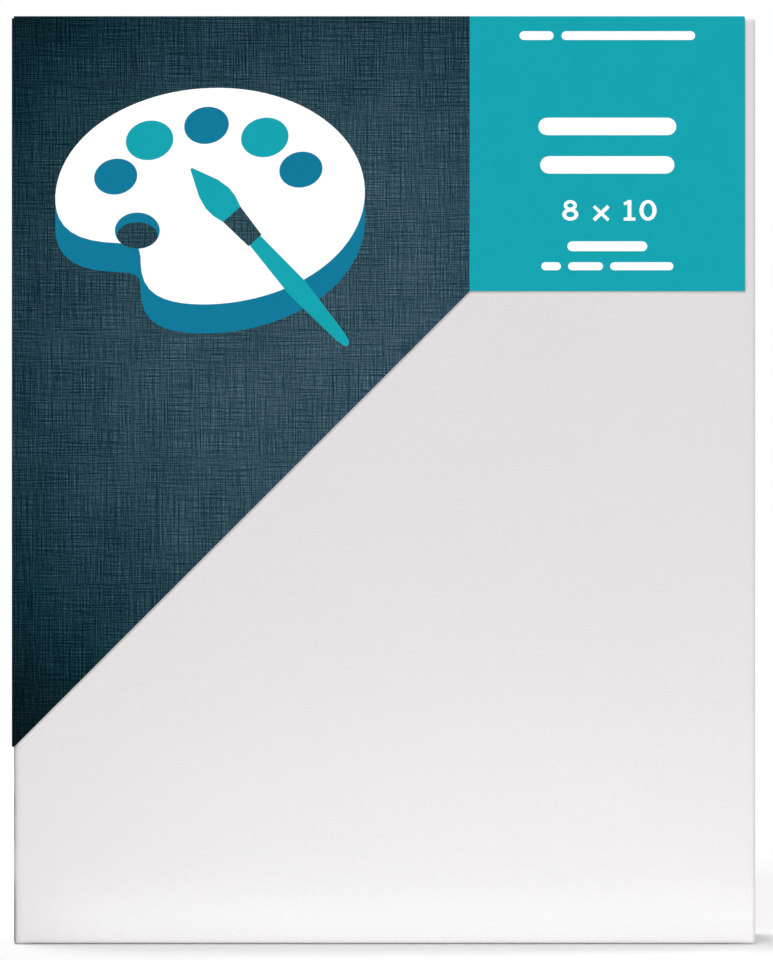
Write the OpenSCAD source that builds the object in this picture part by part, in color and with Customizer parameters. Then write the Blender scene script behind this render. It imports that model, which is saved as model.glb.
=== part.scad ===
// Stretched canvas with a gallery depth: four mitred stretcher bars with tongue-and-slot corners,
// two wedge keys in each corner, one primed cotton canvas wrapped round the bars and stapled at the
// back, and a folded card label that pulls off forwards.
// Millimetres. +Z is up, the painting face looks towards -Y, and +X is to the right of a viewer who
// faces it. The origin is the middle of the bottom edge, at mid depth.

/* [Frame] */
// Width over the bars
frame_w = 203.2; // [150:0.1:610]
// Height over the bars
frame_h = 254; // [150:0.1:760]
// Depth from the painting face to the back of the turned-over canvas
depth = 34.9; // [30:0.1:45]
// Width of a bar from its outer edge to its inner edge
bar_w = 20; // [18:0.5:40]
// Width of the raised lip that carries the canvas
lip_w = 4; // [2:0.5:6]
// Height of the lip above the rest of the bar's front
lip_rise = 3; // [1:0.5:4]
// Radius of the outer front edge of the bars
edge_r = 1; // [0.5:0.1:2]

/* [Corner joints] */
// Thickness of each tongue
tongue_t = 5; // [4:0.5:6]
// Thickness of the shoulder behind the tongues
back_shoulder = 9.5; // [9.5:0.5:11]
// Clearance on each face of a tongue
tongue_gap = 0.05; // [0.05:0.05:0.3]

/* [Corner keys] */
// Length of a key
key_l = 28; // [24:1:40]
// Width of a key at its narrow end
key_tip_w = 3; // [2:0.5:4]
// Width of a key at its wide end
key_head_w = 9; // [7:0.5:10]
// Distance from the bar's outer edge to the narrow end of a seated key
key_inset = 3; // [2:0.5:6]
// Clearance on each face of a key
key_gap = 0.2; // [0.15:0.05:0.4]

/* [Canvas] */
// Thickness of the primed canvas
cloth_t = 0.55; // [0.4:0.05:0.8]
// Width of the canvas turned over onto the back
flap_w = 17; // [15:0.5:17.5]
// Length of the tucked fold along the level edges at each back corner
fold_l = 27; // [25:1:30]

/* [Staples] */
// Width of a staple over its legs
staple_w = 10; // [8:0.5:12]
// Length of a staple's legs
staple_leg = 8; // [6:0.5:9]
// Width of the staple wire
wire_w = 1.2; // [0.9:0.1:1.4]
// Thickness of the staple wire
wire_t = 0.6; // [0.5:0.1:0.7]
// Distance from the bar's outer edge to the line of staples
staple_inset = 8; // [7:0.5:9]
// Spacing of the staples along a bar
staple_pitch = 48; // [30:1:60]
// Distance from the bar's end to the staple through a corner fold
fold_staple = 16.5; // [16:0.5:18]

/* [Label] */
// Thickness of the card
card_t = 0.4; // [0.3:0.05:0.6]
// Clearance between the card and the canvas
card_gap = 0.15; // [0.1:0.05:0.3]
// Strip of bare canvas to the right of the label
label_margin = 2.95; // [1:0.05:20]
// Side of the label's plain square, at its upper right
label_square = 75.8; // [40:0.1:90]
// How far the label's flaps reach back over the top and left sides
label_flap = 32; // [15:1:32]
// Slant cut off the free ends of the flaps
flap_slant = 10; // [2:1:14]

/* [Hidden] */
$fn = 32;
eps = 1;

// Sides of the frame, in the order of quarter turns from the bottom bar
BOTTOM = 0;
LEFT = 1;
TOP = 2;
RIGHT = 3;

// Ends of a bar, seen in the bottom bar's place: each bar's first end has its tongue in front
FIRST = -1;
SECOND = 1;

// Overall size of the canvas
canvas_w = frame_w + 2 * cloth_t;
canvas_h = frame_h + 2 * cloth_t;
mid_z = canvas_h / 2;

// Planes across the depth, from front to back
face_y = -depth / 2;
bar_front = face_y + cloth_t;
flap_y = depth / 2;
bar_back = flap_y - cloth_t;
tongue_back = bar_back - back_shoulder;
tongue_mid = tongue_back - tongue_t;
tongue_front = tongue_mid - tongue_t;
fold_y = flap_y + 2 * cloth_t;

// Slope of a key's slanted edge, and the slot's width where the bar's outer edge would meet it
key_slope = (key_head_w - key_tip_w) / key_l;
slot_outer = key_tip_w - key_inset * key_slope + 2 * key_gap;
slot_inner = slot_outer + bar_w * key_slope;

// Planes and edges of the label
label_front = face_y - card_gap - card_t;
label_left = -canvas_w / 2 - card_gap - card_t;
label_right = canvas_w / 2 - label_margin;
label_top = canvas_h + card_gap + card_t;
label_w = label_right - label_left;
label_tip = label_top - label_w;
label_back = label_front + label_flap;

// Each key: its node's name, its bar and the end of the bar it sits in
KEYS = [
    ["key_bottom_left", BOTTOM, FIRST],
    ["key_bottom_right", BOTTOM, SECOND],
    ["key_left_top", LEFT, FIRST],
    ["key_left_bottom", LEFT, SECOND],
    ["key_top_right", TOP, FIRST],
    ["key_top_left", TOP, SECOND],
    ["key_right_bottom", RIGHT, FIRST],
    ["key_right_top", RIGHT, SECOND]
];

function bar_length(side) = side % 2 == 0 ? frame_w : frame_h;

// Moves a piece made for the bottom bar to another side of the frame
module on_side(side) {
    across = side % 2 == 0 ? frame_h : frame_w;
    translate([0, 0, mid_z])
        rotate([0, side * 90, 0])
            translate([0, 0, -across / 2])
                children();
}

// Turns an outline drawn in X and Z into a slab between two planes across the depth
module slab(front, back) {
    translate([0, back, 0])
        rotate([90, 0, 0])
            linear_extrude(height = back - front)
                children();
}

// Turns an outline drawn in Y and Z into a bar along X
module along_x(length) {
    rotate([90, 0, 90])
        linear_extrude(height = length, center = true)
            children();
}

// What a rounded corner at the origin leaves of a square corner
module corner_waste(r) {
    difference() {
        translate([-eps, -eps])
            square(r + eps);
        translate([r, r])
            circle(r);
    }
}

// Rectangle from the origin with the two corners on its left side rounded
module soft_left(w, h, r) {
    difference() {
        square([w, h]);
        corner_waste(r);
        translate([0, h])
            mirror([0, 1])
                corner_waste(r);
    }
}

// Block standing on the plane Z = 0 with its four front edges rounded
module soft_block(w, h, front, back, r) {
    thick = back - front;
    intersection() {
        along_x(w)
            translate([front, 0])
                soft_left(thick, h, r);
        translate([w / 2, front, 0])
            linear_extrude(height = h)
                rotate(90)
                    soft_left(thick, w, r);
    }
}

// Rectangle standing on the X axis with all four corners rounded
module soft_rectangle(w, h, r) {
    intersection() {
        translate([-w / 2, 0])
            soft_left(w + eps, h, r);
        translate([w / 2, 0])
            mirror([1, 0])
                soft_left(w + eps, h, r);
    }
}

// Section of a bar, drawn in Y and Z: a rounded lip in front, and a face that falls away from it
module bar_section() {
    difference() {
        polygon([
            [bar_front, 0],
            [bar_front, lip_w],
            [bar_front + lip_rise, lip_w + 1.5 * lip_rise],
            [bar_front + lip_rise + 1, bar_w],
            [bar_back, bar_w],
            [bar_back, 0]
        ]);
        translate([bar_front, 0])
            corner_waste(edge_r);
    }
}

// Outline of a bar with both ends mitred
module mitred(length) {
    half = length / 2;
    polygon([[-half, 0], [half, 0], [half - bar_w, bar_w], [-half + bar_w, bar_w]]);
}

// Places an outline drawn from a bar's end at that end
module at_end(length, end) {
    mirror([end == SECOND ? 1 : 0, 0])
        translate([-length / 2, 0])
            children();
}

// Tongue: the whole corner square
module tongue_outline() {
    square(bar_w);
}

// Slot: room for the other bar's tongue and, beside it, for a key
module slot_outline() {
    polygon([
        [-eps, -eps],
        [bar_w + slot_outer - eps * key_slope, -eps],
        [bar_w + slot_inner + eps * key_slope, bar_w + eps],
        [-eps, bar_w + eps]
    ]);
}

// One stretcher bar: the first end's tongue is in front and its slot behind, the second end's are
// the other way round, so that any bar fits any other
module bar(side) {
    length = bar_length(side);
    color("burlywood")
        on_side(side)
            difference() {
                intersection() {
                    along_x(length)
                        bar_section();
                    union() {
                        slab(bar_front, bar_back)
                            mitred(length);
                        slab(tongue_front + tongue_gap, tongue_mid - tongue_gap)
                            at_end(length, FIRST)
                                tongue_outline();
                        slab(tongue_mid + tongue_gap, tongue_back - tongue_gap)
                            at_end(length, SECOND)
                                tongue_outline();
                    }
                }
                slab(tongue_mid, tongue_back)
                    at_end(length, FIRST)
                        slot_outline();
                slab(tongue_front, tongue_mid)
                    at_end(length, SECOND)
                        slot_outline();
            }
}

// Wedge key in its slot, narrow end outwards, its straight edge along the other bar's tongue
module key(side, end) {
    front = end == FIRST ? tongue_mid : tongue_front;
    color("tan")
        on_side(side)
            slab(front + key_gap, front + tongue_t - key_gap)
                at_end(bar_length(side), end)
                    translate([bar_w + key_gap, key_inset])
                        polygon([[0, 0], [key_tip_w, 0], [key_head_w, key_l], [0, key_l]]);
}

// Tucked fold that lies on the flaps at a back corner, drawn from the corner
module fold_outline() {
    polygon([[cloth_t, cloth_t], [fold_l, cloth_t], [flap_w, flap_w]]);
}

// Canvas: the face, four sides, four flaps on the back and a fold at each corner
module canvas() {
    open_w = canvas_w - 2 * flap_w;
    open_h = canvas_h - 2 * flap_w;
    color("whitesmoke") {
        difference() {
            intersection() {
                soft_block(canvas_w, canvas_h, face_y, flap_y, edge_r + cloth_t);
                slab(face_y, flap_y)
                    soft_rectangle(canvas_w, canvas_h, cloth_t);
            }
            translate([0, 0, cloth_t])
                soft_block(frame_w, frame_h, bar_front, bar_back, edge_r);
            slab(bar_back - eps, flap_y + eps)
                translate([-open_w / 2, flap_w])
                    square([open_w, open_h]);
        }
        for (left_right = [0, 1], bottom_top = [0, 1])
            translate([0, 0, mid_z])
                mirror([left_right, 0, 0])
                    mirror([0, 0, bottom_top])
                        translate([-canvas_w / 2, 0, -mid_z])
                            slab(flap_y, fold_y)
                                fold_outline();
    }
}

// One staple in the plane Z = 0, the back of its crown at Y = 0 and its legs towards -Y
module staple() {
    half = staple_w / 2;
    linear_extrude(height = wire_w)
        difference() {
            translate([-half, -staple_leg])
                square([staple_w, staple_leg]);
            translate([-half + wire_t, -staple_leg - eps])
                square([staple_w - 2 * wire_t, staple_leg - wire_t + eps]);
            for (end = [0, 1])
                mirror([end, 0]) {
                    translate([-half, 0])
                        mirror([0, 1])
                            corner_waste(wire_t);
                    translate([-half, -staple_leg])
                        polygon([[-eps, -eps], [wire_t, 0], [0, 2 * wire_t], [-eps, 2 * wire_t]]);
                }
        }
}

// Staples along one side: a row through the flap and, on the level sides, one through each fold
module staples(side) {
    level = side % 2 == 0;
    reach = level ? 1 : 1.5;
    base_z = staple_inset - wire_w / 2;
    color("silver")
        on_side(side) {
            for (step = [-reach : 1 : reach])
                translate([step * staple_pitch, flap_y + wire_t, base_z])
                    staple();
            if (level)
                for (end = [-1, 1])
                    translate([end * (bar_length(side) / 2 - fold_staple), fold_y + wire_t, base_z])
                        staple();
        }
}

// Outline of the label's front: a square cut across from its lower left to its plain square
module label_outline() {
    polygon([
        [label_left, label_tip],
        [label_left, label_top],
        [label_right, label_top],
        [label_right, label_top - label_square],
        [label_right - label_square, label_top - label_square]
    ]);
}

// Card label: the front, and two flaps folded back over the top and left sides
module label_card() {
    under_top = canvas_h + card_gap;
    color("teal") {
        slab(label_front, label_front + card_t)
            label_outline();
        translate([0, 0, under_top])
            linear_extrude(height = card_t)
                polygon([
                    [label_left, label_front],
                    [label_right, label_front],
                    [label_right - flap_slant, label_back],
                    [label_left, label_back]
                ]);
        translate([label_left + card_t / 2, 0, 0])
            along_x(card_t)
                polygon([
                    [label_front, label_tip + card_t],
                    [label_back, label_tip + flap_slant],
                    [label_back, under_top - card_t],
                    [label_front, under_top - card_t]
                ]);
    }
}

bar(BOTTOM);  // bottom_bar
bar(LEFT);  // left_bar
bar(TOP);  // top_bar
bar(RIGHT);  // right_bar
for (k = KEYS)
    key(k[1], k[2]);
canvas();
staples(BOTTOM);  // staples_bottom
staples(LEFT);  // staples_left
staples(TOP);  // staples_top
staples(RIGHT);  // staples_right
label_card();
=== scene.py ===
"""The looks of a stretched canvas with a gallery depth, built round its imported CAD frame.

Metres. +Z is up, the painting face looks towards -Y, and +X is to the right of a viewer who faces
it. The pine bars, the wedge keys and the staples are the CAD nodes themselves, with softened edges
and materials. The primed cotton and the printed card label are pieces made here in their places.
"""

import random
from math import copysign, cos, dist, exp, hypot, pi, radians, sin, sqrt, tau
from typing import NamedTuple

import bmesh
import bpy
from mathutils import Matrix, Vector, noise
from mathutils.geometry import delaunay_2d_cdt


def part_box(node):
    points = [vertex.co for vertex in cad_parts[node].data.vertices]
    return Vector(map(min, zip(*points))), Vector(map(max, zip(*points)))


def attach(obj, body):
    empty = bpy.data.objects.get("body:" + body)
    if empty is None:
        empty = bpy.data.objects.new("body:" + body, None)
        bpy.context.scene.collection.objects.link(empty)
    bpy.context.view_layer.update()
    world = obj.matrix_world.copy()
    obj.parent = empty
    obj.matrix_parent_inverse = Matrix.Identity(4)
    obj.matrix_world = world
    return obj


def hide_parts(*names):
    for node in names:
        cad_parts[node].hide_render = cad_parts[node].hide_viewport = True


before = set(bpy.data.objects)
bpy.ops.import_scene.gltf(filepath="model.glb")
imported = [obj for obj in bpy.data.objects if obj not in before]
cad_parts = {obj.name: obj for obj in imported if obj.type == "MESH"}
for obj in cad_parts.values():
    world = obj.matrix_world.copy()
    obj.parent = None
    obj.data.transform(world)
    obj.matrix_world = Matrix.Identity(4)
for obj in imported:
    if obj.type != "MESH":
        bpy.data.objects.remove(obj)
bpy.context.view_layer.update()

MM = 0.001
FLAT_MAP = "flat"

# ---- sizes, from the frame

canvas_lo, canvas_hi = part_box("canvas")
label_lo, label_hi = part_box("label_card")
level_staples_lo, level_staples_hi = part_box("staples_bottom")

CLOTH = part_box("left_bar")[0].x - canvas_lo.x
FACE_Y = canvas_lo.y
BACK_Y = canvas_hi.y - 2 * CLOTH
HALF_W = canvas_hi.x
TOP_Z = canvas_hi.z
MID_Z = TOP_Z / 2

# ---- camera

LENS = 200
SENSOR = 36
VIEW_HEIGHT = 264.4 * MM
VIEW_CENTRE_X = 0.5 * MM
VIEW_CENTRE_Z = 127.9 * MM


def new_object(name, data):
    """An object with its data, in the scene."""
    made = bpy.data.objects.new(name, data)
    bpy.context.scene.collection.objects.link(made)
    return made


def make_camera():
    """A long lens square on to the face, so that no side of the frame shows."""
    data = bpy.data.cameras.new("camera")
    data.lens = LENS
    data.sensor_width = SENSOR
    camera = new_object("camera", data)
    distance = VIEW_HEIGHT * LENS / SENSOR
    camera.location = (VIEW_CENTRE_X, FACE_Y - distance, VIEW_CENTRE_Z)
    camera.rotation_euler = (radians(90), 0, 0)
    bpy.context.scene.camera = camera


# ---- node helpers


def srgb(red, green, blue):
    """A colour given as 0 to 255 in sRGB, as the linear colour that a shader takes."""
    linear = []
    for level in (red, green, blue):
        share = level / 255
        low = share <= 0.04045
        linear.append(share / 12.92 if low else ((share + 0.055) / 1.055) ** 2.4)
    return (*linear, 1)


def is_output(value):
    return isinstance(value, bpy.types.NodeSocket)


def put(socket, value):
    """Links another node's output to the socket, or sets a plain value on the socket itself."""
    if is_output(value):
        socket.id_data.links.new(value, socket)
    else:
        socket.default_value = value


def node(kind, inputs, **settings):
    """A node with its settings and inputs, in the tree of the outputs among those inputs."""
    tree = next(value.id_data for value in inputs.values() if is_output(value))
    made = tree.nodes.new("ShaderNode" + kind)
    for name, value in settings.items():
        setattr(made, name, value)
    for name, value in inputs.items():
        put(made.inputs[name], value)
    return made


def calc(operation, *values):
    return node("Math", dict(enumerate(values)), operation=operation).outputs[0]


def scale_add(value, scale, more):
    """The value times scale, plus more."""
    return calc("MULTIPLY_ADD", value, scale, more)


def times(first, second):
    return calc("MULTIPLY", first, second)


def place(tree):
    """The point on the piece, in the frame that the CAD uses."""
    return tree.nodes.new("ShaderNodeTexCoord").outputs["Object"]


def flat_place(tree):
    """The point on a sheet when it is laid flat."""
    made = tree.nodes.new("ShaderNodeUVMap")
    made.uv_map = FLAT_MAP
    return made.outputs[0]


def scaled(vector, scale, offset=(0, 0, 0)):
    """The vector times scale, plus offset."""
    inputs = {"Vector": vector, "Scale": scale, "Location": offset}
    return node("Mapping", inputs).outputs[0]


def parts_of(vector):
    return node("SeparateXYZ", {"Vector": vector}).outputs


def cloud(vector, scale=1.0, detail=2.0, roughness=0.5):
    """Smooth noise from 0 to 1, about 0.5 on average, with scale bumps or so to the metre."""
    inputs = {"Vector": vector, "Scale": scale, "Detail": detail, "Roughness": roughness}
    return node("TexNoise", inputs).outputs["Fac"]


def remap(value, low, high, to_low=0.0, to_high=1.0, smooth=False):
    """Takes low to high over to to_low to to_high, and holds the ends."""
    ends = {"From Min": low, "From Max": high, "To Min": to_low, "To Max": to_high}
    kind = "SMOOTHSTEP" if smooth else "LINEAR"
    return node("MapRange", {"Value": value, **ends}, interpolation_type=kind).outputs[0]


def blend(factor, first, second):
    """Mixes two colours."""
    return node("Mix", {0: factor, 6: first, 7: second}, data_type="RGBA").outputs[2]


def ramp(factor, stops):
    """A colour that changes with factor, through the stops: (place, colour) each."""
    made = node("ValToRGB", {"Fac": factor})
    elements = made.color_ramp.elements
    for _ in range(len(stops) - 2):
        elements.new(0.5)
    for element, (where, colour) in zip(elements, stops):
        element.position = where
        element.color = colour
    return made.outputs["Color"]


def new_material(name, roughness=0.8, specular=0.3, metallic=0.0):
    """A material with its shader, ready for its pattern."""
    material = bpy.data.materials.new(name)
    material.use_nodes = True
    tree = material.node_tree
    shader = tree.nodes["Principled BSDF"]
    shader.inputs["Roughness"].default_value = roughness
    shader.inputs["Specular IOR Level"].default_value = specular
    shader.inputs["Metallic"].default_value = metallic
    return material, tree, shader.inputs


def paint(shader, colour, relief, depth, roughness=None):
    """Gives a shader its colour, its relief and that relief's depth, and its roughness."""
    bump = node("Bump", {"Height": relief, "Distance": depth})
    put(shader["Base Color"], colour)
    put(shader["Normal"], bump.outputs[0])
    if roughness is not None:
        put(shader["Roughness"], roughness)


# ---- cloth materials

# How much higher a thread is where it passes over another, and lower where it passes under.
WEAVE_SWING = 0.4


def weave(flat, pitch, slub):
    """The height of a plain weave, from 0 to 1: a thread is proud where it passes over another."""
    drift = node("TexNoise", {"Vector": flat, "Scale": 70, "Detail": 3}).outputs["Color"]
    strayed = {0: drift, 1: (slub, slub, 0), 2: flat}
    uneven = node("VectorMath", strayed, operation="MULTIPLY_ADD").outputs[0]
    across, along, _ = parts_of(uneven)
    warp = calc("SINE", times(across, pi / pitch))
    weft = calc("SINE", times(along, pi / pitch))
    over = times(warp, weft)
    heights = []
    for thread, swing in ((warp, WEAVE_SWING), (weft, -WEAVE_SWING)):
        rounded = calc("SQRT", calc("ABSOLUTE", thread))
        passing = scale_add(over, swing, 1 - WEAVE_SWING)
        heights.append(times(rounded, passing))
    return calc("MAXIMUM", *heights)


THREAD_PITCH = 0.62 * MM
PRIMER = srgb(219, 217, 217)
PRIMER_SHADE = srgb(211, 209, 209)
# Painted shade, a dark line on the left front edge that stands in for its turn falling into shade:
# its colour and strength, how fast it thins across the face, and where on the side it starts to
# thin and ends.
EDGE_SHADE = srgb(90, 82, 74)
EDGE_SHADE_STRENGTH = 1.3
EDGE_SHADE_FADE = 0.52 * MM
EDGE_SHADE_ON_SIDE = (0.65 * MM, 2.2 * MM)


def painted_edge_shade(point):
    """How far painted shade darkens the left front edge, in place of its turn falling into shade:
    most at its turn and low down.
    """
    x, y, z = parts_of(point)
    faded = calc("EXPONENT", calc("DIVIDE", calc("ADD", x, HALF_W), -EDGE_SHADE_FADE))
    near_edge = calc("MINIMUM", times(faded, EDGE_SHADE_STRENGTH), 1.0)
    near_face = remap(calc("SUBTRACT", y, FACE_Y), *EDGE_SHADE_ON_SIDE, 1, 0, smooth=True)
    low_down = remap(z, label_lo.z, MID_Z, 1, 0.15, smooth=True)
    cloudy = remap(cloud(point, 90), 0.28, 0.6, 0.55, 1)
    there = times(near_edge, near_face)
    return times(there, times(low_down, cloudy))


def primed_cotton():
    """Cotton under three thin coats of white ground, which leave its weave just showing."""
    material, tree, shader = new_material("primed_cotton", roughness=0.82, specular=0.18)
    flat = flat_place(tree)
    threads = weave(flat, THREAD_PITCH, 0.35 * MM)
    coat = cloud(flat, 1300, roughness=0.6)
    broad = cloud(flat, 18, detail=4.0, roughness=0.6)
    tone = scale_add(threads, 0.4, coat)
    tone = remap(scale_add(broad, 0.3, tone), 0.6, 1.3)
    ground = blend(tone, PRIMER_SHADE, PRIMER)
    # The left front edge gets painted shade: a dark line where its turn would fall into shade.
    colour = blend(painted_edge_shade(place(tree)), ground, EDGE_SHADE)
    relief = scale_add(coat, 1.2, threads)
    rough = remap(coat, 0.3, 0.7, 0.74, 0.9)
    paint(shader, colour, relief, 0.022 * MM, rough)
    return material


def raw_cotton():
    """Unprimed cotton, as the inside of the canvas shows: cream threads and a few seed flecks."""
    material, tree, shader = new_material("raw_cotton", roughness=0.92, specular=0.12)
    shader["Sheen Weight"].default_value = 0.15
    flat = flat_place(tree)
    threads = weave(flat, THREAD_PITCH, 0.5 * MM)
    broad = cloud(flat, 25, detail=3.0)
    yarn = cloud(scaled(flat, (1500, 90, 0)))
    cross_yarn = cloud(scaled(flat, (90, 1500, 0)))
    streaks = calc("ADD", yarn, cross_yarn)
    tone = scale_add(threads, 0.6, times(streaks, 0.25))
    tone = scale_add(broad, 0.3, tone)
    creams = [(0, srgb(184, 169, 142)), (0.5, srgb(224, 213, 191)), (1, srgb(241, 234, 217))]
    cream = ramp(remap(tone, 0.35, 1.15), creams)
    speck = remap(cloud(flat, 420, detail=1.0), 0.76, 0.82)
    paint(shader, blend(speck, cream, srgb(112, 84, 54)), threads, 0.12 * MM)
    return material


# ---- card materials

LABEL_SQUARE = 75.8 * MM
PRINT_MIDDLE = (label_lo.x + 98 * MM, label_hi.z - 91 * MM, 0)
PRINT_FADE = 150 * MM
CARD_RELIEF = 0.012 * MM


def card_fibre(flat):
    """The slight unevenness of matt printed card."""
    return cloud(flat, 900, detail=3.0, roughness=0.6)


def plain_ink(name, dark, light, specular=0.04):
    """Solid ink on matt card."""
    material, tree, shader = new_material(name, roughness=0.62, specular=specular)
    flat = flat_place(tree)
    fibre = card_fibre(flat)
    tone = remap(calc("ADD", fibre, cloud(flat, 120)), 0.7, 1.3)
    rough = remap(fibre, 0.3, 0.7, 0.56, 0.68)
    paint(shader, blend(tone, dark, light), fibre, CARD_RELIEF, rough)
    return material


# The printed threads: how many lie side by side in a metre, how often a short one and a long one
# change along a metre, and how far off the uprights' pattern is taken, so that it is their own.
FINE = 3400
SHORT = 115
LONG = 30
UPRIGHT_SHIFT = (0.37, 0.11, 0)
# A thread is set off against the one a step away, and stands out where it crosses another.
THREAD_STEP = 0.36 * MM
NEXT_THREAD = -0.5
CROSSING = 7.5
# How much of the pattern is in its long threads, its broad blotches and its finest specks.
LONG_SHARE = 0.8
MOTTLE_SHARE = 0.17
GRAIN_SHARE = 0.24
# How far the threads lighten and darken red, green and blue, and the least that one may be.
THREAD_GAIN = (4.1, 2.5, 2.2)
DARKEST_THREAD = -0.264


def thread_lines(flat, across, along):
    """Fine lines of uneven length and strength, unlike those beside them: about 0 on average."""
    scale = Vector((across, along, 0))
    here = cloud(scaled(flat, scale), roughness=0.7)
    beside = cloud(scaled(flat, scale, scale * THREAD_STEP), roughness=0.7)
    lines = scale_add(beside, NEXT_THREAD, here)
    return calc("SUBTRACT", lines, 0.5 + 0.5 * NEXT_THREAD)


def linen_threads(flat):
    """The threads of the printed linen, lighter above 0 and darker below it."""
    level = thread_lines(flat, SHORT, FINE)
    upright = thread_lines(scaled(flat, (1, 1, 1), UPRIGHT_SHIFT), FINE, SHORT)
    long_level = thread_lines(flat, LONG, FINE)
    long_upright = thread_lines(flat, FINE, LONG)
    level = scale_add(long_level, LONG_SHARE, level)
    upright = scale_add(long_upright, LONG_SHARE, upright)
    crossing = times(level, upright)
    threads = scale_add(crossing, CROSSING, calc("ADD", level, upright))
    mottle, grain = cloud(flat, 75, detail=1.0), cloud(flat, 1400, detail=0.0)
    for pattern, share in ((mottle, MOTTLE_SHARE), (grain, GRAIN_SHARE)):
        threads = scale_add(calc("SUBTRACT", pattern, 0.5), share, threads)
    return threads


def linen_print():
    """A dark woven pattern printed on the card, lighter towards the middle of the label."""
    material, tree, shader = new_material("linen_print", roughness=0.62, specular=0.02)
    flat = flat_place(tree)
    distance = node("VectorMath", {0: flat, 1: PRINT_MIDDLE}, operation="DISTANCE")
    fade = calc("DIVIDE", distance.outputs["Value"], PRINT_FADE)
    shades = [
        (0.0, srgb(51, 75, 86)),
        (0.36, srgb(45, 71, 81)),
        (0.62, srgb(29, 55, 65)),
        (0.76, srgb(13, 42, 50)),
        (0.88, srgb(6, 28, 34)),
        (1.0, srgb(4, 14, 19)),
    ]
    stronger_outside = remap(fade, 0.4, 0.9, 1, 1.5)
    threads = times(linen_threads(flat), stronger_outside)
    threads = calc("MAXIMUM", threads, DARKEST_THREAD)
    inputs = {0: threads, 1: THREAD_GAIN, 2: (1, 1, 1)}
    gain = node("VectorMath", inputs, operation="MULTIPLY_ADD").outputs[0]
    inputs = {0: ramp(fade, shades), 1: gain}
    lit = node("VectorMath", inputs, operation="MULTIPLY").outputs[0]
    paint(shader, lit, card_fibre(flat), CARD_RELIEF)
    return material


def bare_card():
    """The card's own pale grey-white board, at its cut edges and inside."""
    material, tree, shader = new_material("bare_card", roughness=0.88, specular=0.15)
    flat = flat_place(tree)
    fibre = cloud(scaled(flat, (700, 1600, 0)), detail=4.0, roughness=0.7)
    colour = blend(fibre, srgb(198, 195, 188), srgb(234, 232, 227))
    paint(shader, colour, fibre, 0.02 * MM)
    return material


# ---- wood and steel

RING_SWAY = 14 * MM
RING_UNEVEN = 9 * MM


def wood(name, along, seed, pale, dark, ring=3.4 * MM):
    """Softwood sawn along one axis: growth rings round a far pith, fine fibres and end grain."""
    material, tree, shader = new_material(name, roughness=0.68, specular=0.25)
    draw = random.Random(seed)
    turn = {"X": (0, 0, radians(90)), "Z": (radians(90), 0, 0)}[along]
    shift = [draw.uniform(-1, 1) for _ in range(3)]
    # After the turn the grain runs along Y.
    turned = node("Mapping", {"Vector": place(tree), "Rotation": turn}).outputs[0]

    def streaks(across, lengthwise, **settings):
        stretched = scaled(turned, (across, lengthwise, across), shift)
        return cloud(stretched, **settings)

    pith = (draw.uniform(30, 60) * MM, 0, draw.uniform(-50, 50) * MM)
    x, _, z = parts_of(scaled(turned, (1, 1, 1), pith))
    squares = calc("ADD", calc("POWER", x, 2), calc("POWER", z, 2))
    radius = scale_add(streaks(22, 3.5), RING_SWAY, calc("SQRT", squares))
    radius = scale_add(streaks(130, 2, detail=1.0), RING_UNEVEN, radius)
    cycle = calc("FRACT", calc("DIVIDE", radius, ring))
    late = remap(cycle, 0.35, 0.92, 0, 1, smooth=True)
    early = remap(cycle, 0.93, 1.0, 1, 0, smooth=True)
    band = times(late, early)
    fibre = streaks(1800, 55, detail=3.0, roughness=0.65)
    tone = scale_add(fibre, 0.4, times(band, 0.42))
    tone = scale_add(streaks(35, 9), 0.3, tone)
    saw = streaks(12, 950, detail=1.0)
    relief = scale_add(saw, 0.35, scale_add(band, 0.25, fibre))
    colour = blend(remap(tone, 0.22, 0.85), pale, dark)
    paint(shader, colour, relief, 0.09 * MM, remap(tone, 0.2, 0.9, 0.76, 0.58))
    return material


def staple_steel():
    """Drawn steel wire, dulled, with a few darker marks."""
    material, tree, shader = new_material("staple_steel", roughness=0.3, metallic=1.0)
    drawn = cloud(scaled(place(tree), (300, 2500, 2500)))
    marks = cloud(place(tree), 500, detail=4.0)
    tone = scale_add(drawn, 0.4, times(marks, 0.6))
    colour = blend(tone, srgb(104, 99, 92), srgb(184, 180, 174))
    paint(shader, colour, drawn, 0.02 * MM, remap(marks, 0.3, 0.7, 0.2, 0.42))
    return material


# ---- mesh helpers


def smoothstep(low, high, value):
    share = min(max((value - low) / (high - low), 0), 1)
    return share * share * (3 - 2 * share)


def quarter_turn(steps):
    """The angles of a quarter turn in equal steps, without the first."""
    return [pi / 2 * step / steps for step in range(1, steps + 1)]


def even(low, high, cell):
    """Values from low to high, both among them, in equal steps of about a cell."""
    count = max(round((high - low) / cell), 1)
    return [low + (high - low) * step / count for step in range(count + 1)]


def lerp(first, second, share):
    return [a + (b - a) * share for a, b in zip(first, second)]


def make_piece(name, points, faces, materials, face_materials=None, flat=None):
    """A mesh object; flat holds the place of each face's corners on the sheet when laid flat."""
    mesh = bpy.data.meshes.new(name)
    mesh.from_pydata(points, [], faces)
    for material in materials:
        mesh.materials.append(material)
    if face_materials:
        mesh.polygons.foreach_set("material_index", face_materials)
    if flat:
        layer = mesh.uv_layers.new(name=FLAT_MAP)
        layer.data.foreach_set("uv", [value for corner in flat for value in corner])
    return new_object(name, mesh)


def settle(piece, sharp_degrees):
    """Applies the piece's modifiers, then shades it smooth but for its sharp edges."""
    shown = piece.evaluated_get(bpy.context.evaluated_depsgraph_get())
    piece.data = bpy.data.meshes.new_from_object(shown)
    piece.modifiers.clear()
    piece.data.shade_smooth()
    piece.data.set_sharp_from_angle(angle=radians(sharp_degrees))


# ---- the stretched cotton

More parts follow.
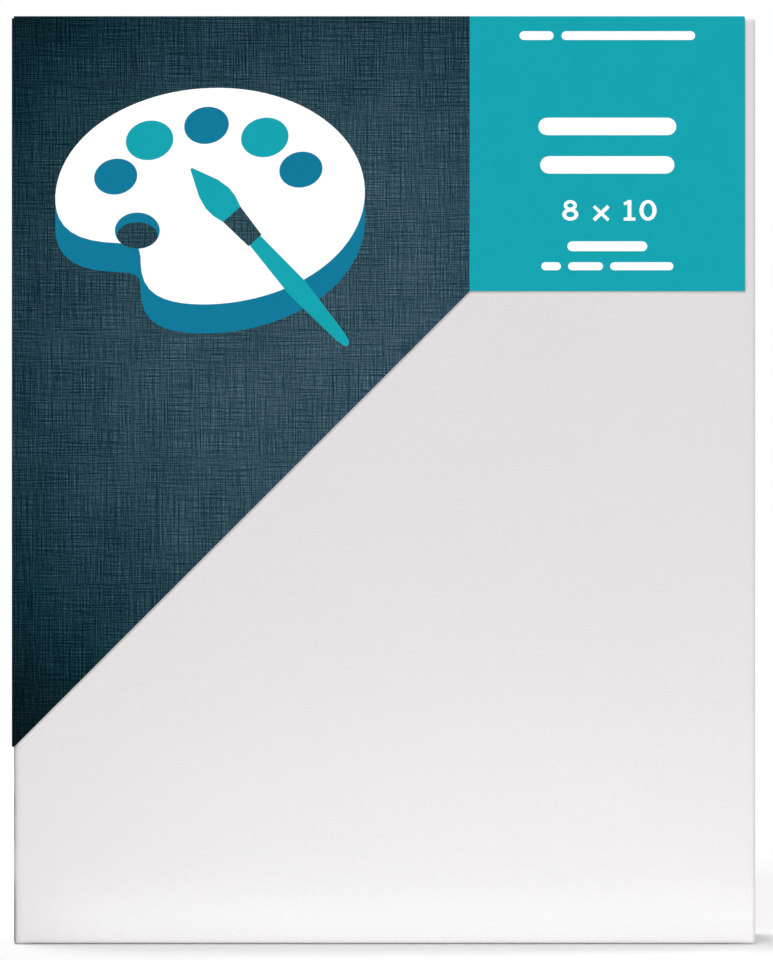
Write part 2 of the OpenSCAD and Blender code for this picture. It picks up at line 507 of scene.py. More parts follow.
FRONT_ROUND = 1.2 * MM
BACK_ROUND = 0.9 * MM
CORNER_ROUND = 0.7 * MM
INNER_CORNER = 0.1 * MM
FLAP = 17 * MM
CREASE_RUN = 9 * MM
FOLD_REACH = 27 * MM
FOLD_EASE = 1.6 * MM
TUCK_START = 3 * MM
TUCK_EASE = 1.2 * MM
TUCK_STEP = 0.12 * MM
ARC_STEPS = 6
SIDE_STEPS = 12
FLAP_STEPS = 9
CORNER_STEPS = 6
FINE_STEP = 1.5 * MM
COARSE_STEP = 4 * MM
FINE_REACH = 33 * MM
FACE_MARGIN = 1 * MM
STAPLE_WIDTH = 10 * MM
STAPLE_WIRE = 1.2 * MM
STAPLE_PITCH = 48 * MM
STAPLE_PRESS = 0.07 * MM
PRESS_REACH = 6 * MM
PULL_REACH = 16 * MM
HELD_FLAT = 4 * MM
FREE_TO_LIFT = 22 * MM
RAW_EDGE_LIFT = 0.5 * MM
RAW_EDGE_SWAY = 0.45 * MM
RAW_EDGE_JAG = 0.16 * MM

# How the folded cloth turns a corner on the sides, as distances from the upright side and from
# the level side in units of the cloth's thickness: a folded edge, a crease beside it, and the
# layer underneath, which goes on round the corner.
CREASE = [(3.6, 0), (2.45, 0), (1.9, 0.5), (1.55, 0.22), (0.8, 0.22), (0.24, 0.76), (0, 1.8)]


class Ring(NamedTuple):
    """One loop of the cloth's outside, all round the frame."""

    inset: float  # distance in from the outer edge
    depth: float  # place along Y
    out: float  # how far the surface faces away from its side
    back: float  # how far it faces the back
    reach: float  # distance along the cloth from the outer edge of the face
    crease: float  # how sharply the corner is creased
    fold: float  # how far it is on the back, where the corner folds lie


def cloth_rings():
    """The loops from the edge of the face, over front edge, side and back edge, to the raw edge."""
    rings = []
    for angle in [0, *quarter_turn(ARC_STEPS)]:
        inset = FRONT_ROUND * (1 - sin(angle))
        depth = FACE_Y + FRONT_ROUND * (1 - cos(angle))
        reach = FRONT_ROUND * (angle - 1)
        rings.append(Ring(inset, depth, sin(angle), -cos(angle), reach, 0, 0))
    front = rings[-1]
    side_length = BACK_Y - BACK_ROUND - front.depth
    for step in range(1, SIDE_STEPS + 1):
        run = side_length * step / SIDE_STEPS
        crease = smoothstep(0, CREASE_RUN, run)
        rings.append(Ring(0, front.depth + run, 1, 0, front.reach + run, crease, 0))
    side = rings[-1]
    for angle in quarter_turn(ARC_STEPS):
        inset = BACK_ROUND * (1 - cos(angle))
        depth = side.depth + BACK_ROUND * sin(angle)
        reach = side.reach + BACK_ROUND * angle
        fold = sin(angle) ** 4
        rings.append(Ring(inset, depth, cos(angle), sin(angle), reach, 1, fold))
    edge = rings[-1]
    for step in range(1, FLAP_STEPS + 1):
        run = (FLAP - BACK_ROUND) * step / FLAP_STEPS
        rings.append(Ring(edge.inset + run, BACK_Y, 0, 1, edge.reach + run, 1, 1))
    return rings


def stations(length):
    """Where a side's columns stand, from 0 to 1: closer near its ends, where the folds are."""
    near = even(0, FINE_REACH, FINE_STEP)[:-1]
    middle = even(FINE_REACH, length - FINE_REACH, COARSE_STEP)
    far = [length - run for run in reversed(near)]
    return [run / length for run in near + middle + far]


def fold_height(across, up):
    """How far the tucked layers raise the flap, so far across and up from a corner."""
    inner = Vector((FLAP, FLAP))
    slope = (inner - Vector((FOLD_REACH, CLOTH))).normalized()
    towards_corner = Vector((-slope.y, slope.x))
    depth_in = (Vector((across, up)) - inner).dot(towards_corner)
    return 2 * CLOTH * smoothstep(-FOLD_EASE, FOLD_EASE, depth_in)


def side_height(across, depth):
    """How far a level side stands in from the box, away from the layers tucked at its corners."""
    tucked = TUCK_START + (FOLD_REACH - TUCK_START) * (depth - FACE_Y) / (BACK_Y - FACE_Y)
    return -TUCK_STEP * smoothstep(-TUCK_EASE, TUCK_EASE, across - tucked)


LEVEL_STAPLES = [step * STAPLE_PITCH for step in (-1, 0, 1)]
LEVEL_STAPLES += [level_staples_lo.x + STAPLE_WIDTH / 2, level_staples_hi.x - STAPLE_WIDTH / 2]
SIDE_STAPLES = [MID_Z + step * STAPLE_PITCH for step in (-1.5, -0.5, 0.5, 1.5)]
STAPLE_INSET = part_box("staples_left")[0].x + STAPLE_WIRE / 2 + HALF_W


def flap_lift(along, inset, staples, to_corner):
    """How far the flap stands off the bar: up between the staples, and held down by them."""
    nearest = min(abs(along - staple) for staple in staples)
    free = smoothstep(HELD_FLAT, FREE_TO_LIFT, nearest)
    wave = 0.65 + 0.7 * noise.noise(Vector((along * 60, inset * 40, 3.1)))
    spring = RAW_EDGE_LIFT * free * wave * smoothstep(8 * MM, FLAP, inset)
    from_staple = hypot(nearest, inset - STAPLE_INSET)
    press = STAPLE_PRESS * (1 - smoothstep(0, PRESS_REACH, from_staple))
    return (spring - press) * smoothstep(FLAP, FLAP + 9 * MM, to_corner)


def raw_edge_stray(along, inset, side):
    """How far the raw edge on a side strays from a straight cut."""
    stray = RAW_EDGE_SWAY * noise.noise(Vector((along * 70, side, 5.3)))
    stray += RAW_EDGE_JAG * noise.noise(Vector((along * 420, side, 9.3)))
    return stray * smoothstep(FLAP * 0.7, FLAP, inset)


def corner_points(ring, inside):
    """The loop's points round a corner, from the level side to the upright side: distances from the
    upright side and from the level side, and the height above the flap."""
    # The corner is sharper on the loops near the face, which lie further in.
    radius = INNER_CORNER if inside else CORNER_ROUND - 0.25 * ring.inset
    points = []
    for angle, crease in zip([0, *quarter_turn(CORNER_STEPS)], CREASE):
        rounded = (radius * (1 - sin(angle)), radius * (1 - cos(angle)), 0)
        if inside:
            points.append((ring.inset + rounded[0], ring.inset + rounded[1], 0))
            continue
        creased = (crease[0] * CLOTH, crease[1] * CLOTH, 0)
        half = fold_height(ring.inset, ring.inset) / 2
        nose = half * sin(2 * angle) / sqrt(2)
        folded = (-nose, nose, half * (1 + cos(2 * angle)))
        shape = lerp(lerp(rounded, creased, ring.crease), folded, ring.fold)
        points.append((ring.inset + shape[0], ring.inset + shape[1], shape[2]))
    return points


def loop_points(ring, level_stops, side_stops, inside):
    """One loop's points, from the lower left corner to the right, and so round the frame."""
    shell = ring
    if inside:
        inset, depth = ring.inset + CLOTH * ring.out, ring.depth - CLOTH * ring.back
        shell = ring._replace(inset=inset, depth=depth)
    corner = corner_points(shell, inside)
    width, height = 2 * HALF_W, TOP_Z
    level_start, side_start = corner[0][0], corner[-1][1]
    points = []

    def add(right, top, across, up, lift):
        """Adds a point given by its distances from the nearest upright and level sides."""
        x = HALF_W - across if right else across - HALF_W
        z = TOP_Z - up if top else up
        points.append((x, shell.depth + ring.back * lift, z))

    def add_corner(right, top, from_level):
        for across, up, lift in corner if from_level else reversed(corner):
            add(right, top, across, up - ring.out * lift, lift)

    def add_level(top, order):
        for share in order:
            across = level_start + (width - 2 * level_start) * share
            x = across - HALF_W
            to_corner = min(across, width - across)
            lift = ring.fold * flap_lift(x, ring.inset, LEVEL_STAPLES, to_corner)
            raised = 0
            if not inside:
                raised = ring.fold * fold_height(to_corner, ring.inset)
                raised += (1 - ring.fold) * ring.out * side_height(to_corner, ring.depth)
            up = shell.inset + raw_edge_stray(x, ring.inset, 0.5 + top) - ring.out * raised
            add(False, top, across, up, lift + raised)

    def add_side(right, order):
        for share in order:
            z = side_start + (height - 2 * side_start) * share
            to_corner = min(z, height - z)
            lift = ring.fold * flap_lift(z, ring.inset, SIDE_STAPLES, to_corner)
            add(right, False, shell.inset + raw_edge_stray(z, ring.inset, 2.5 + right), z, lift)

    add_corner(False, False, False)
    add_level(False, level_stops[1:-1])
    add_corner(True, False, True)
    add_side(True, side_stops[1:-1])
    add_corner(True, True, False)
    add_level(True, reversed(level_stops[1:-1]))
    add_corner(False, True, True)
    add_side(False, reversed(side_stops[1:-1]))
    return points


def face_wave(x, z):
    """The slight unevenness of the taut face, from the pull of the staples behind its edges."""
    to_level = min(z, TOP_Z - z)
    to_side = HALF_W - abs(x)
    turns = (x / STAPLE_PITCH, (z - MID_Z) / STAPLE_PITCH + 0.5)
    pull = 0
    for turn, to_edge in zip(turns, (to_level, to_side)):
        pull += cos(tau * turn) * exp(-to_edge / PULL_REACH)
    slack = noise.noise(Vector((x * 22, 0.4, z * 22)))
    inner = smoothstep(0, 12 * MM, min(to_level, to_side))
    return (0.035 * pull + 0.05 * slack) * MM * inner


def face_points(level_stops, side_stops, inset, y):
    """The grid of points on one face of the cloth, row by row from the bottom."""
    points = []
    for up in side_stops:
        z = inset + (TOP_Z - 2 * inset) * up
        for across in level_stops:
            x = (HALF_W - inset) * (2 * across - 1)
            points.append((x, y + face_wave(x, z), z))
    return points


def grid_rim(columns, rows):
    """Which grid point each point of a loop joins: all those round a corner join the same one."""
    corner = CORNER_STEPS + 1
    last_row = (rows - 1) * columns
    rim = [0] * corner
    rim += range(1, columns - 1)
    rim += [columns - 1] * corner
    rim += [row * columns + columns - 1 for row in range(1, rows - 1)]
    rim += [last_row + columns - 1] * corner
    rim += [last_row + column for column in range(columns - 2, 0, -1)]
    rim += [last_row] * corner
    rim += [row * columns for row in range(rows - 2, 0, -1)]
    return rim


def level_spans(columns, rows):
    """Which spans of a loop belong to the level sides, half of each corner among them."""
    corner = CORNER_STEPS + 1
    half = corner // 2
    marks = [False] * half + [True] * (corner - half)
    marks += [True] * (columns - 2)
    marks += [True] * half + [False] * (corner - half)
    marks += [False] * (rows - 2)
    return marks * 2


def make_canvas(outside, inside):
    """The cotton as one closed sheet: face, sides and back flaps, outside and inside."""
    level_stops = stations(2 * HALF_W)
    side_stops = stations(TOP_Z)
    columns, rows = len(level_stops), len(side_stops)
    rim = grid_rim(columns, rows)
    level = level_spans(columns, rows)
    rings = cloth_rings()
    edge_inset = FRONT_ROUND + FACE_MARGIN
    points, faces, kinds, flat = [], [], [], []

    def flat_corner(index, reach, along_level):
        x, _, z = points[index]
        if reach is None:
            return x, z
        if along_level:
            return x, copysign(MID_Z + reach, z - MID_Z) + MID_Z
        return copysign(HALF_W + reach, x), z

    def add_face(corners, reaches, along_level, kind):
        kept = [(c, r) for i, (c, r) in enumerate(zip(corners, reaches)) if c != corners[i - 1]]
        faces.append([corner for corner, _ in kept])
        kinds.append(kind)
        flat.extend(flat_corner(corner, reach, along_level) for corner, reach in kept)

    def add_grid(y, kind):
        start = len(points)
        points.extend(face_points(level_stops, side_stops, edge_inset, y))
        for row in range(rows - 1):
            for column in range(columns - 1):
                low = start + row * columns + column
                high = low + columns
                corners = [low, low + 1, high + 1, high]
                if kind:
                    corners.reverse()
                add_face(corners, [None] * 4, False, kind)
        return [start + index for index in rim]

    def add_loop(ring, is_inside):
        start = len(points)
        points.extend(loop_points(ring, level_stops, side_stops, is_inside))
        return list(range(start, len(points)))

    def join(first, first_reach, second, second_reach, kind):
        count = len(first)
        for index in range(count):
            after = (index + 1) % count
            corners = [first[index], second[index], second[after], first[after]]
            reaches = [first_reach, second_reach, second_reach, first_reach]
            add_face(corners, reaches, level[index], kind)

    loop, reach = add_grid(FACE_Y, 0), -edge_inset
    for is_inside, order in ((False, rings), (True, reversed(rings))):
        for ring in order:
            following = add_loop(ring, is_inside)
            join(loop, reach, following, ring.reach, int(is_inside))
            loop, reach = following, ring.reach
    join(loop, reach, add_grid(FACE_Y + CLOTH, 1), -edge_inset, 1)
    piece = make_piece("canvas_cloth", points, faces, [outside, inside], kinds, flat)
    settle(piece, 50)
    return piece


# ---- loose threads at the raw edge

THREAD = 0.11 * MM
THREAD_SPACING = 0.8 * MM


def thread_tube(points, faces, path):
    """Adds a three-sided tube along the path, finer towards its end."""
    start = len(points)
    for step, (x, y, z) in enumerate(path):
        radius = THREAD * (1 - 0.5 * step / (len(path) - 1))
        for side in range(3):
            angle = tau * side / 3
            run = path[-1] - path[0]
            sideways = Vector((-run.z, 0, run.x)).normalized()
            turn = sideways * cos(angle) + Vector((0, 1, 0)) * sin(angle)
            points.append((x + radius * turn.x, y + radius * turn.y, z + radius * turn.z))
    for step in range(len(path) - 1):
        for side in range(3):
            low = start + 3 * step + side
            beside = start + 3 * step + (side + 1) % 3
            faces.append((low, beside, beside + 3, low + 3))
    last = len(points)
    faces.append((start + 2, start + 1, start))
    faces.append((last - 3, last - 2, last - 1))


def make_loose_threads(material):
    """The ends of threads that stand out of the raw edge of the flaps."""
    draw = random.Random(11)
    points, faces = [], []
    left, right = FLAP - HALF_W, HALF_W - FLAP
    low, high = FLAP, TOP_Z - FLAP
    edges = [
        ((left, low), (right, low), (0, 1), LEVEL_STAPLES),
        ((right, low), (right, high), (-1, 0), SIDE_STAPLES),
        ((right, high), (left, high), (0, -1), LEVEL_STAPLES),
        ((left, high), (left, low), (1, 0), SIDE_STAPLES),
    ]
    for start, end, inwards, staples in edges:
        run = Vector(end) - Vector(start)
        count = round(run.length / THREAD_SPACING)
        level = start[1] == end[1]
        for step in range(count):
            root = Vector(start) + run * (step + draw.uniform(0.1, 0.9)) / count
            along = root.x if level else root.y
            to_corner = FLAP + min((root - Vector(start)).length, (root - Vector(end)).length)
            y = BACK_Y + flap_lift(along, FLAP, staples, to_corner) - draw.uniform(0.12, 0.42) * MM
            reach = draw.uniform(0.3, 1.1) * MM + draw.random() ** 6 * 2.6 * MM
            lean, curl = draw.uniform(-0.5, 0.5), draw.uniform(-0.9, 0.9)
            fall = draw.uniform(-0.25, 0.2) * MM
            path = []
            for bend in range(5):
                share = bend / 4
                inward = reach * share - 0.7 * MM
                sideways = reach * (lean * share + curl * share * share)
                spot = root + Vector(inwards) * inward + run.normalized() * sideways
                path.append(Vector((spot.x, y + fall * share * share, spot.y)))
            thread_tube(points, faces, path)
    return make_piece("canvas_loose_threads", points, faces, [material])


# ---- the card label

CARD = 0.4 * MM
CARD_ROUND = 0.6 * MM
CARD_CELL = 6
SLANT = 10 * MM
SLANT_RUN = 25 * MM
BEND_STEPS = 5
END_STEPS = 8
FLAP_ROWS = 6

# The label's flat front, in millimetres in the frame: what the print's shapes are drawn in.
LEFT = (label_lo.x + CARD_ROUND) / MM
RIGHT = label_hi.x / MM
TOP = (label_hi.z - CARD_ROUND) / MM
SQUARE_LEFT = (label_hi.x - LABEL_SQUARE) / MM
SQUARE_BOTTOM = (label_hi.z - LABEL_SQUARE) / MM
TIP = (label_lo.z + CARD_ROUND) / MM

LINEN, TEAL, WHITE, BLUE = range(4)


def oval(x, z, half_wide, half_high, turn=0.0, points=40):
    """An ellipse, turned by so many degrees."""
    cosine, sine = cos(radians(turn)), sin(radians(turn))
    outline = []
    for step in range(points):
        angle = tau * step / points
        across, up = half_wide * cos(angle), half_high * sin(angle)
        outline.append((x + across * cosine - up * sine, z + across * sine + up * cosine))
    return outline


def strip(x_low, x_high, middle, high):
    """A level bar with half-round ends."""
    radius = high / 2
    outline = []
    for centre, start in ((x_high - radius, -90), (x_low + radius, 90)):
        for step in range(END_STEPS + 1):
            angle = radians(start + 180 * step / END_STEPS)
            outline.append((centre + radius * cos(angle), middle + radius * sin(angle)))
    return outline


PALETTE_POINTS = 96
BAY_AT = 222
BAY_DEPTH = 0.36
BAY_WIDTH = 0.3


def palette_outline(x, z, half_wide, half_high):
    """An artist's palette: an oval with a bay in its lower left side."""
    outline = []
    for step in range(PALETTE_POINTS):
        angle = tau * step / PALETTE_POINTS
        from_bay = (angle - radians(BAY_AT) + pi) % tau - pi
        bay = BAY_DEPTH * exp(-((from_bay / BAY_WIDTH) ** 2))
        reach = 1 - bay + 0.045 * cos(2 * angle - 0.5)
        across, up = half_wide * cos(angle), half_high * sin(angle)
        outline.append((x + reach * across, z + reach * up))
    return outline


def swept(outline, across, up):
    """The outline of a shape and of all that it passes over as it moves across and up."""
    found = []
    for index, (x, z) in enumerate(outline):
        before, after = outline[index - 1], outline[(index + 1) % len(outline)]
        leads = (after[1] - before[1]) * across - (after[0] - before[0]) * up > 0
        found.append((x + across, z + up) if leads else (x, z))
    return found


def along_line(start, end, profile):
    """An outline round a line, from pairs of a share of its length and a half width there."""
    (x0, z0), (x1, z1) = start, end
    length = hypot(x1 - x0, z1 - z0)
    across = ((z0 - z1) / length, (x1 - x0) / length)
    outline = []
    for side, pairs in ((-1, profile), (1, reversed(profile))):
        for share, half in pairs:
            x, z = x0 + (x1 - x0) * share, z0 + (z1 - z0) * share
            outline.append((x + side * half * across[0], z + side * half * across[1]))
    return outline


def emblem(x, z):
    """A palette seen a little from below, with dabs of paint round its rim and a brush over it."""
    board = palette_outline(x, z, 41, 31)
    shapes = [
        (BLUE, swept(board, 0, -8)),
        (WHITE, board),
        (BLUE, oval(x - 20, z - 9.5, 6.2, 5.0)),
        (LINEN, oval(x - 20, z - 10.8, 5.6, 3.6)),
    ]
    dabs = [(164, 6.0, BLUE), (128, 6.6, TEAL), (92, 6.2, BLUE), (56, 6.6, TEAL), (22, 6.0, BLUE)]
    for degrees, size, ink in dabs:
        across, up = cos(radians(degrees)), sin(radians(degrees))
        shapes.append((ink, oval(x + 27 * across, z + 19.5 * up, size, size * 0.82, 12)))
    foot, head = (x + 38, z - 41), (x - 2, z + 4)
    handle = [(0, 0.4), (0.012, 0.95), (0.05, 1.5), (0.35, 2.9), (0.64, 2.0)]
    ferrule = [(0.64, 2.4), (0.8, 3.2)]
    hair = [(0.8, 3.2), (0.85, 4.1), (0.9, 4.3), (0.96, 3.5), (1.02, 1.9), (1.08, 0.3)]
    for ink, profile in ((TEAL, handle), (LINEN, ferrule), (TEAL, hair)):
        shapes.append((ink, along_line(foot, head, profile)))
    return shapes


def size_mark(x, z):
    """The canvas's size in inches, 8 x 10, in plain numerals about a middle point."""

    def stroke(start, end, half):
        ends = [(x + start[0], z + start[1]), (x + end[0], z + end[1])]
        return along_line(*ends, [(0, half), (1, half)])

    return [
        (WHITE, oval(x - 10.2, z + 1.35, 1.8, 1.45, points=24)),
        (WHITE, oval(x - 10.2, z - 1.15, 2.2, 1.7, points=24)),
        (TEAL, oval(x - 10.2, z + 1.35, 0.85, 0.62, points=16)),
        (TEAL, oval(x - 10.2, z - 1.15, 1.15, 0.78, points=16)),
        (WHITE, stroke((-3.7, -2.7), (0.3, 1.1), 0.5)),
        (WHITE, stroke((-3.7, 1.1), (0.3, -2.7), 0.42)),
        (WHITE, stroke((6.1, -2.8), (6.1, 2.8), 0.52)),
        (WHITE, stroke((4.6, 1.7), (6.2, 2.5), 0.4)),
        (WHITE, stroke((4.5, -2.4), (7.7, -2.4), 0.42)),
        (WHITE, oval(x + 11.2, z, 2.35, 2.85, points=28)),
        (TEAL, oval(x + 11.2, z, 1.25, 1.95, points=20)),
    ]


def print_shapes():
    """What is printed on the label's front, each shape over the ones before it."""
    right_side = [(RIGHT, SQUARE_BOTTOM), (RIGHT, TOP)]
    square = [(SQUARE_LEFT, SQUARE_BOTTOM), *right_side, (SQUARE_LEFT, TOP)]
    shapes = [(TEAL, square)] + emblem(LEFT + 54, TOP - 49)
    middle = (SQUARE_LEFT + RIGHT) / 2
    # Each row of bars: how far down it is, its height, and how long its bars are.
    rows = [
        (4.8, 2.4, [9.4, 36.8]),
        (29.8, 4.8, [38.0]),
        (40.4, 4.8, [37.0]),
        (62.8, 2.7, [22.0]),
        (68.3, 2.2, [5.4, 9.6, 17.4]),
    ]
    for down, high, words in rows:
        gap = 0.9 * high
        start = middle - (sum(words) + gap * (len(words) - 1)) / 2
        for word in words:
            shapes.append((WHITE, strip(start, start + word, TOP - down, high)))
            start += word + gap
    return shapes + size_mark(middle, TOP - 52.9)


def spread(low, high, fixed=()):
    """Stations from low to high about a cell apart, with the fixed ones among them."""
    stops = [low, *fixed, high]
    found = [low]
    for start, end in zip(stops, stops[1:]):
        found += even(start, end, CARD_CELL)[1:]
    return found


def between(start, end):
    """Points from start up to but not at end, about a cell apart."""
    count = max(round(dist(start, end) / CARD_CELL), 1)
    return [tuple(lerp(start, end, step / count)) for step in range(count)]


CUT_SPRING = 0.16
CORNER_SPRING = 0.12
RIPPLE = 0.05


def card_bow(x, z):
    """How far the loose parts of the card spring forward, at x and z in millimetres."""
    from_fold = min(x - LEFT, TOP - z) / 100
    along_cut = exp(-abs((x - LEFT) - (z - TIP)) / 18)
    lower_right = smoothstep(40, 0, hypot(x - RIGHT, z - SQUARE_BOTTOM))
    ripple = RIPPLE * noise.noise(Vector((x / 45, 1.7, z / 45)))
    spring = CUT_SPRING * along_cut * smoothstep(0, 0.3, from_fold)
    spring += CORNER_SPRING * lower_right
    return -(spring + ripple * smoothstep(0, 0.2, from_fold)) * MM


def card_seeds(shapes):
    """The points that the card's front is cut into triangles from, and each shape's loop."""
    seeds, loops = [], []
    for _, outline in shapes:
        loops.append(list(range(len(seeds), len(seeds) + len(outline))))
        seeds += [Vector(point) for point in outline]
    for x in spread(LEFT, RIGHT)[1:-1]:
        for z in spread(TIP, TOP)[1:-1]:
            in_square = x > SQUARE_LEFT and z > SQUARE_BOTTOM + 1
            if in_square or (x < SQUARE_LEFT and z - TIP > x - LEFT + 2):
                seeds.append(Vector((x, z)))
    return seeds, loops


def flap_rows():
    """A folded flap's rows: how far out from the fold, back from the front, and along the card."""
    rows = []
    for angle in quarter_turn(BEND_STEPS):
        turned = (sin(angle), 1 - cos(angle), angle)
        rows.append([CARD_ROUND * share for share in turned])
    out, back, run = rows[-1]
    length = label_hi.y - label_lo.y - CARD_ROUND
    for step in range(1, FLAP_ROWS + 1):
        share = step / FLAP_ROWS
        rows.append((out, back + length * share, run + length * share))
    return rows


def slant(stop, free_end, inwards, share):
    """Draws a flap's stations in near its free end, so that the end is cut on a slant."""
    near = max(1 - abs(stop - free_end) * MM / SLANT_RUN, 0)
    return stop + inwards * near * share * SLANT / MM


def make_label(inks, core):
    """The printed front, and the two flaps that fold back over the canvas's top and left sides."""
    top_stops = spread(LEFT, RIGHT, [SQUARE_LEFT])
    side_stops = spread(TIP, TOP)
    outline = [(LEFT, z) for z in reversed(side_stops[1:])]
    turns = [(LEFT, TIP), (SQUARE_LEFT, SQUARE_BOTTOM), (RIGHT, SQUARE_BOTTOM), (RIGHT, TOP)]
    for start, end in zip(turns, turns[1:]):
        outline += between(start, end)
    outline += [(x, TOP) for x in reversed(top_stops[1:])]
    shapes = [(LINEN, outline)] + print_shapes()
    seeds, loops = card_seeds(shapes)
    found, _, cells, _, _, owners = delaunay_2d_cdt(seeds, [], loops, 1, 1e-4)
    points = [(x * MM, label_lo.y + card_bow(x, z), z * MM) for x, z in found]
    laid = [(x * MM, z * MM) for x, z in found]
    faces = [list(cell) for cell in cells]
    kinds = [shapes[max(owner)][0] for owner in owners]

    def nearest(x, z):
        return min(range(len(found)), key=lambda index: dist(found[index], (x, z)))

    def add_flap(on_top, stops, free_end, inwards, stop_inks):
        """Adds a flap's rows, from the line of the front's points that it is folded along."""
        row = [nearest(stop, TOP) if on_top else nearest(LEFT, stop) for stop in stops]
        rows = flap_rows()
        full = rows[-1][2]
        for out, back, run in rows:
            following = list(range(len(points), len(points) + len(stops)))
            for stop in stops:
                moved = slant(stop, free_end, inwards, run / full) * MM
                y = label_lo.y + back
                points.append((moved, y, TOP * MM + out) if on_top else (LEFT * MM - out, y, moved))
                laid.append((moved, TOP * MM + run) if on_top else (LEFT * MM - run, moved))
            for index, ink in enumerate(stop_inks):
                faces.append([row[index], row[index + 1], following[index + 1], following[index]])
                kinds.append(ink)
            row = following

    top_inks = [LINEN if x < SQUARE_LEFT - 0.1 else TEAL for x in top_stops[:-1]]
    add_flap(True, top_stops, RIGHT, -1, top_inks)
    add_flap(False, side_stops, TIP, 1, [LINEN] * (len(side_stops) - 1))
    flat = [laid[corner] for face in faces for corner in face]
    piece = make_piece("label_card_printed", points, faces, [*inks, core], kinds, flat)
    solid = piece.modifiers.new("thickness", "SOLIDIFY")
    solid.thickness = CARD
    solid.offset = -1
    solid.use_even_offset = True
    solid.material_offset = len(inks)
    solid.material_offset_rim = len(inks)
    settle(piece, 40)
    return piece


# ---- CAD nodes that show


def finish_node(name, material, edge):
    """Gives a CAD node its material, and takes the sharpness off its edges."""
    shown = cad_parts[name]
    if not shown.material_slots:
        shown.data.materials.append(material)
    for slot in shown.material_slots:
        slot.material = material
    weld = shown.modifiers.new("weld", "WELD")
    weld.merge_threshold = 0.001 * MM
    soften = shown.modifiers.new("soften", "BEVEL")
    soften.width = edge
    soften.segments = 2
    soften.limit_method = "ANGLE"
    soften.angle_limit = radians(30)
    soften.use_clamp_overlap = True


PINE = {
    "bottom_bar": ("X", 3, srgb(226, 199, 158), srgb(186, 143, 92)),
    "left_bar": ("Z", 8, srgb(230, 205, 166), srgb(190, 149, 98)),
    "top_bar": ("X", 14, srgb(222, 193, 150), srgb(180, 136, 86)),
    "right_bar": ("Z", 21, srgb(228, 202, 162), srgb(188, 146, 96)),
}


def finish_wood():
    for name, (along, seed, pale, dark) in PINE.items():
        finish_node(name, wood("pine_" + name, along, seed, pale, dark), 0.3 * MM)
    keys = sorted(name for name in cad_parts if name.startswith("key_"))
    for seed, name in enumerate(keys, start=40):
        upright = name.startswith(("key_bottom", "key_top"))
        pale, dark = srgb(206, 168, 118), srgb(158, 112, 68)
        key_wood = wood("wood_" + name, "Z" if upright else "X", seed, pale, dark, ring=1.9 * MM)
        finish_node(name, key_wood, 0.25 * MM)


def finish_staples():
    steel = staple_steel()
    for side in ("bottom", "left", "top", "right"):
        finish_node("staples_" + side, steel, 0.14 * MM)


# ---- floor and light

FLOOR_RADIUS = 9


def make_floor():
    """A plain pale floor that the frame stands on."""
    mesh = bpy.data.meshes.new("floor")
    disc = bmesh.new()
    bmesh.ops.create_circle(disc, cap_ends=True, segments=128, radius=FLOOR_RADIUS)
    disc.to_mesh(mesh)
    disc.free()
    material, tree, shader = new_material("floor_paper", roughness=1.0, specular=0.0)
    soft = cloud(place(tree), 3)
    put(shader["Base Color"], blend(soft, srgb(229, 229, 229), srgb(233, 233, 233)))
    mesh.materials.append(material)
    new_object("floor", mesh)


def add_light(name, kind, strength, back, at=(0, 0, 0)):
    """A light that the camera doesn't see. It shines the other way from the direction back."""
    data = bpy.data.lights.new(name, kind)
    data.energy = strength
    light = new_object(name, data)
    light.location = at
    light.rotation_mode = "QUATERNION"
    light.rotation_quaternion = Vector(back).to_track_quat("Z", "Y")
    light.visible_camera = False
    return light


SKY_LIGHT = 0.4
# The far, wide lights: where each comes from, as long as what it adds to a white surface that
# faces it, and its width in degrees.
SUNS = {
    "key": ((-0.12, -0.36, 0.25), 36),
    "overhead": ((-0.06, 0.045, 0.5), 13),
    "back_fill": ((0.22, 0.2, 0.2), 50),
}
# Two strips of light at the foot of the face: how far in front of it each stands, and its power.
FOOT_STRIPS = [(12 * MM, 0.0038), (87 * MM, 0.0392)]
FOOT_COLOUR = (0.96, 0.99, 1)
FOOT_LEFT, FOOT_RIGHT = -93 * MM, 151 * MM
FOOT_HEIGHT = 10 * MM


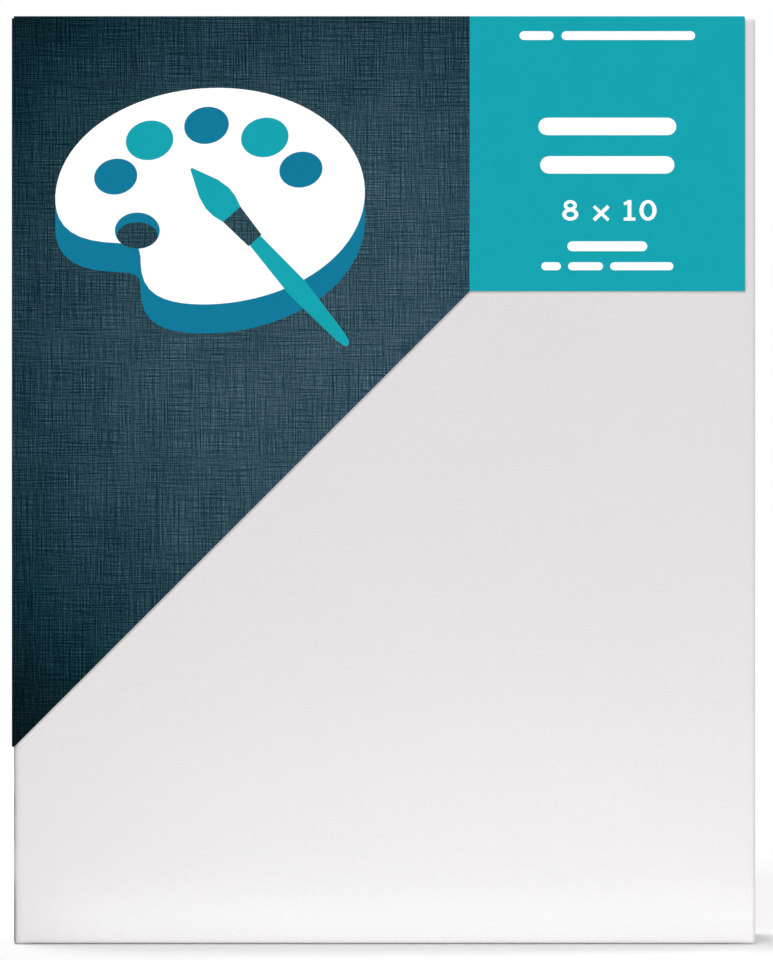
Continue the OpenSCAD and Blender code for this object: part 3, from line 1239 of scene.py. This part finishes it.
def make_sky():
    """A plain white surround, which lights the frame less than it shines to the eye."""
    world = bpy.data.worlds.new("surround")
    bpy.context.scene.world = world
    world.use_nodes = True
    tree = world.node_tree
    seen = tree.nodes.new("ShaderNodeLightPath").outputs["Is Camera Ray"]
    strength = scale_add(seen, 1 - SKY_LIGHT, SKY_LIGHT)
    surround = tree.nodes["Background"].inputs
    surround["Color"].default_value = (1, 1, 1, 1)
    put(surround["Strength"], strength)


def make_lights():
    """A wide key from in front, a narrower lamp overhead, and a fill from behind on the right."""
    for name, (source, width) in SUNS.items():
        light = add_light(name, "SUN", pi * Vector(source).length, source)
        light.data.angle = radians(width)


def make_foot_lights(shown):
    """Narrow strips at the foot of the face, which brighten the lower part of the shown pieces."""
    receivers = bpy.data.collections.new("lit_by_foot")
    for piece in shown:
        receivers.objects.link(piece)
    middle = (FOOT_LEFT + FOOT_RIGHT) / 2
    for number, (reach, power) in enumerate(FOOT_STRIPS):
        at = (middle, FACE_Y - reach, FOOT_HEIGHT / 2)
        light = add_light(f"foot_{number}", "AREA", power, (0, -1, 0), at)
        light.data.color = FOOT_COLOUR
        light.data.shape = "RECTANGLE"
        light.data.size, light.data.size_y = FOOT_RIGHT - FOOT_LEFT, FOOT_HEIGHT
        light.light_linking.receiver_collection = receivers


# ---- the whole

bpy.context.scene.view_settings.view_transform = "Standard"
make_camera()
make_floor()
make_sky()
make_lights()
finish_wood()
finish_staples()

primed = primed_cotton()
canvas = make_canvas(primed, raw_cotton())
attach(canvas, "frame")
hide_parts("canvas")

threads = make_loose_threads(bpy.data.materials["raw_cotton"])
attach(threads, "frame")

inks = [
    linen_print(),
    plain_ink("teal_ink", srgb(14, 156, 168), srgb(18, 159, 171)),
    plain_ink("white_ink", srgb(250, 250, 250), srgb(255, 255, 255), specular=0.2),
    plain_ink("blue_ink", srgb(9, 115, 146), srgb(12, 118, 150)),
]
label = make_label(inks, bare_card())
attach(label, "label")
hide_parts("label_card")

make_foot_lights([canvas, threads, label])
